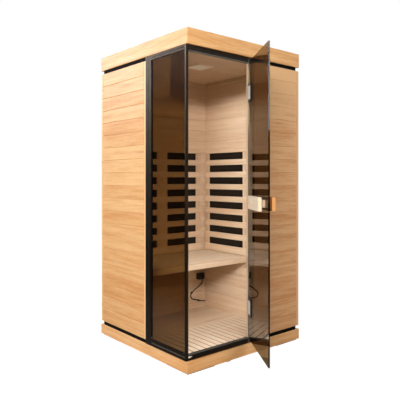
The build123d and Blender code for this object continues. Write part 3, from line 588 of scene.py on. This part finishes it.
def rounded_section(half_width, count=16):
    """A square with round corners: half its width times the cosine and the sine of an angle, each
    raised to the power 0.6 and with its sign kept."""
    angle = np.arange(count) * 2 * np.pi / count
    circle = np.stack([np.cos(angle), np.sin(angle)], axis=1)
    return half_width * np.sign(circle) * np.abs(circle) ** 0.6


def quarter_turn(centre, radius, start, end, count=12):
    """A quarter of a circle: its centre plus its radius times the start direction by the cosine and
    the end direction by the sine of an angle."""
    angle = np.linspace(0, np.pi / 2, count)[:, None]
    return centre + radius * (np.cos(angle) * start + np.sin(angle) * end)


# A bent clip at the foot of the glazing post: moulded nylon, pale grey and satin
clip_centre = np.array([-473 * MM, -132 * MM, 112 * MM])
clip_path = quarter_turn(clip_centre, 12 * MM, (0, 1, 0), (0, 0, 1))
points, groups = carried(rounded_section(1.5 * MM), clip_path, (-1, 0, 0), np.ones(len(clip_path)))
clip_material = satin("moulded grey nylon", "#c9c6bf", 0.45, 0.0, even, 0.9 * MM, 0.03 * MM)
made_piece("glazing_clip", points, groups, clip_material, "cabin")

# A wedge of bare wood on the face of the sill, which starts at the corner post and thins out
wedge_start, wedge_front, wedge_level = span("corner_post", X)[1], -465 * MM, 95.5 * MM
wedge_end = wedge_start + 26 * MM
half_height, half_depth = 4.5 * MM, 2 * MM
wedge_section = [(-half_height, -half_depth), (half_height, -half_depth),
                 (half_height, half_depth), (-half_height, half_depth)]
wedge_path = [(x, wedge_front, wedge_level) for x in np.linspace(wedge_start, wedge_end, 6)]
points, groups = carried(wedge_section, wedge_path, (0, -1, 0), np.linspace(1, 0.15, len(wedge_path)))
made_piece("sill_wedge", points, groups, wood("basswood offcut", handle_tones, X, Z, variety=0.0),
           "cabin", smooth=False)

# ---------------------------------------------------------------- studio


def seen_directly(tree):
    """1 for rays that look straight at the surface, through glass or by a reflection, and 0 for
    light that spreads from it."""
    path = add(tree, "LightPath").outputs
    seen = path["Is Camera Ray"]
    for kind in ("Is Glossy Ray", "Is Transmission Ray"):
        seen = add(tree, "Math", {0: seen, 1: path[kind]}, operation="MAXIMUM").outputs[0]
    return seen


def studio_world(ambient):
    """White wherever it is seen, and a weaker light from all round."""
    world = bpy.data.worlds.new("studio")
    world.use_nodes = True
    bpy.context.scene.world = world
    tree = world.node_tree
    tree.nodes.clear()
    strength = add(tree, "Mix", {0: seen_directly(tree), 2: ambient, 3: 1.0}).outputs[0]
    sky = add(tree, "Background", {"Color": (1, 1, 1, 1), "Strength": strength})
    add(tree, "OutputWorld", {"Surface": sky.outputs[0]})


def studio_floor():
    """Matt grey for the light that spreads from it. Where it is seen, it glows almost white, with a
    thin matt veil that takes the cabin's shadow."""
    material, tree = new_material("pale studio floor")
    matte = add(tree, "BsdfDiffuse", {"Color": (0.6, 0.6, 0.6, 1)})
    veil = add(tree, "BsdfDiffuse", {"Color": (0.2, 0.2, 0.2, 1)})
    glow = add(tree, "Emission", {"Color": (1, 1, 1, 1), "Strength": 0.94})
    bright = add(tree, "AddShader", {0: veil.outputs[0], 1: glow.outputs[0]})
    both = add(tree, "MixShader", {0: seen_directly(tree), 1: matte.outputs[0], 2: bright.outputs[0]})
    finish_material(tree, both)
    return material


def graded(name, axis, ends, glows):
    """A surface that glows from one strength to another between two places along an axis."""
    material, tree = new_material(name)
    place = add(tree, "SeparateXYZ", {0: add(tree, "TexCoord").outputs["Object"]}).outputs[axis]
    glow = add(tree, "MapRange", {0: place, 1: ends[0], 2: ends[1], 3: glows[0], 4: glows[1]}).outputs[0]
    finish_material(tree, add(tree, "Emission", {"Color": (1, 0.97, 0.93, 1), "Strength": glow}))
    return material


def card(name, corners, material):
    """A flat four-cornered card of the studio, which isn't part of the cabin."""
    mesh = bpy.data.meshes.new(name)
    mesh.from_pydata(corners, [], [(0, 1, 2, 3)])
    mesh.materials.append(material)
    made = bpy.data.objects.new(name, mesh)
    bpy.context.scene.collection.objects.link(made)
    return made


def standing(start, end, top=3.4):
    """The corners of an upright card over the line between two places on the floor."""
    return [(*start, 0), (*end, 0), (*end, top), (*start, top)]


def lying(left, right, front, back, level=2 * MM):
    """The corners of a level card, which lies just over the floor."""
    return [(left, front, level), (right, front, level), (right, back, level), (left, back, level)]


studio_world(ambient=0.3)
floor_reach = 30.0
card("studio_floor", lying(-floor_reach, floor_reach, -floor_reach, floor_reach, level=0), studio_floor())

# Dark cards, seen only by reflections, keep the white studio out of the glass and the dark trim.
# The upright ones are black, and grey towards their top edge. Those on the floor are black too, but
# grey well in front of the door and close beside the pane.
upright = graded("upright studio card", Z, (2.0, 3.4), (0.01, 0.7))
beside_door = graded("floor card beside the door", Y, (-0.9, -0.5), (0.35, 0.02))
beside_pane = graded("floor card beside the pane", X, (-1.5, -1.1), (0.01, 0.2))
flags = {
    "left_flag": (upright, standing((-2.8, 0.6), (-2.8, 6.0))),
    "right_flag": (upright, standing((0.9, -2.6), (5.0, -2.6))),
    "front_flag": (upright, standing((-3.0, -5.0), (0.9, -5.0))),
    "right_floor_flag": (beside_door, lying(-0.9, 5.0, -2.6, -0.3)),
    "front_floor_flag": (upright, lying(-3.0, 0.9, -5.0, -2.6)),
    "left_floor_flag": (beside_pane, lying(-2.8, -0.52, -0.4, 6.0)),
}
for name, (material, corners) in flags.items():
    flag = card(name, corners, material)
    flag.visible_camera = flag.visible_diffuse = flag.visible_shadow = False
    flag.visible_transmission = flag.visible_volume_scatter = False

# ---------------------------------------------------------------- lamps


def receivers(name, lit):
    """The CAD nodes that a lamp lights, as a collection."""
    made = bpy.data.collections.new(name)
    for node in lit:
        made.objects.link(nodes[node])
    return made


def lamp(name, place, target, size, power, spread=180, mirrored=True, lit=None):
    """A soft rectangular lamp that faces a target, with its beam held in to a spread in degrees.
    mirrored says whether reflections show it, and lit is what it lights, if not everything."""
    data = bpy.data.lights.new(name, "AREA")
    data.shape = "RECTANGLE"
    data.size, data.size_y = size
    data.energy = power
    data.spread = math.radians(spread)
    made = bpy.data.objects.new(name, data)
    made.location = place
    toward = np.array(target, float) - np.array(place, float)
    heading, rise = math.atan2(toward[1], toward[0]), math.atan2(toward[2], math.hypot(*toward[:2]))
    made.rotation_euler = (math.pi / 2 + rise, 0, heading - math.pi / 2)
    made.visible_glossy = mirrored
    made.light_linking.receiver_collection = lit
    bpy.context.scene.collection.objects.link(made)


# Four lamps light the whole cabin, from the front, the left and the back.
lamp("front-left lamp", (-3.4, -2.85, 2.4), (0, -0.2, 1.0), (1.2, 0.8), 130, mirrored=False)
lamp("front lamp", (-1.1, -4.2, 2.2), (0, -0.2, 1.0), (1.2, 0.8), 55, mirrored=False)
lamp("left lamp", (-3.5, 0.3, 2.7), (-0.4, 0, 1.2), (1.6, 1.6), 30)
lamp("back-left lamp", (-3.0, 4.4, 3.2), (-0.4, 0, 1.2), (1.6, 1.6), 140)

# Three strips that look in under the header, and one lamp above them, light only what is inside
# the cabin, as lamps with barn doors would.
inner = receivers("inside the cabin", [
    "left_lining", "right_lining", "front_lining", "back_lining", "ceiling_panel", "ceiling_trim",
    "right_backrest_slats", "back_right_backrest_slats", "back_left_backrest_slats",
    "backrest_stiles", "heater_panels", "bench_seat", "bench_front_board", "bench_brackets",
    "floor_slats", "floor_deck", "power_socket", "heater_lead", "lead_clips", "light_bezel",
    "light_diffuser",
])
for label, place, power in (
    ("strip, left", (-3.55, -2.2, 2.25), 18),
    ("strip, middle", (-2.75, -3.15, 2.25), 13.5),
    ("strip, right", (-1.55, -3.85, 2.25), 11.2),
):
    lamp(label, place, (0, -0.2, 1.45), (1.3, 0.25), power, spread=70, mirrored=False, lit=inner)
lamp("upper lamp", (-0.9, -2.4, 3.6), (0, 0, 0.5), (1.0, 1.0), 80, lit=inner)

# Two more only put a grey sheen on the top of the corner post and of the door's free edge.
lamp("post lamp", (-2.5, 2.1, 2.9), (-0.47, -0.47, 1.85), (0.6, 0.6), 11,
     lit=receivers("post lamp receivers", ["corner_post"]))
lamp("edge lamp", (-1.32, -4.2, 2.3), (-0.28, -0.97, 1.6), (0.6, 1.3), 11,
     lit=receivers("edge lamp receivers", ["door_glass"]))

# ---------------------------------------------------------------- camera and sizes

# The camera stands level at the front left, a little over half the cabin's height up.
camera_data = bpy.data.cameras.new("camera")
camera_data.lens = 44.83
camera_data.sensor_width = 36.0
camera_data.shift_y = -0.0548
camera = bpy.data.objects.new("camera", camera_data)
camera.location = (-2.1647, -2.5907, 1.0769)
camera.rotation_euler = (math.pi / 2, 0, math.radians(-40.06))
bpy.context.scene.collection.objects.link(camera)
bpy.context.scene.camera = camera
bpy.context.scene.view_settings.view_transform = "Standard"
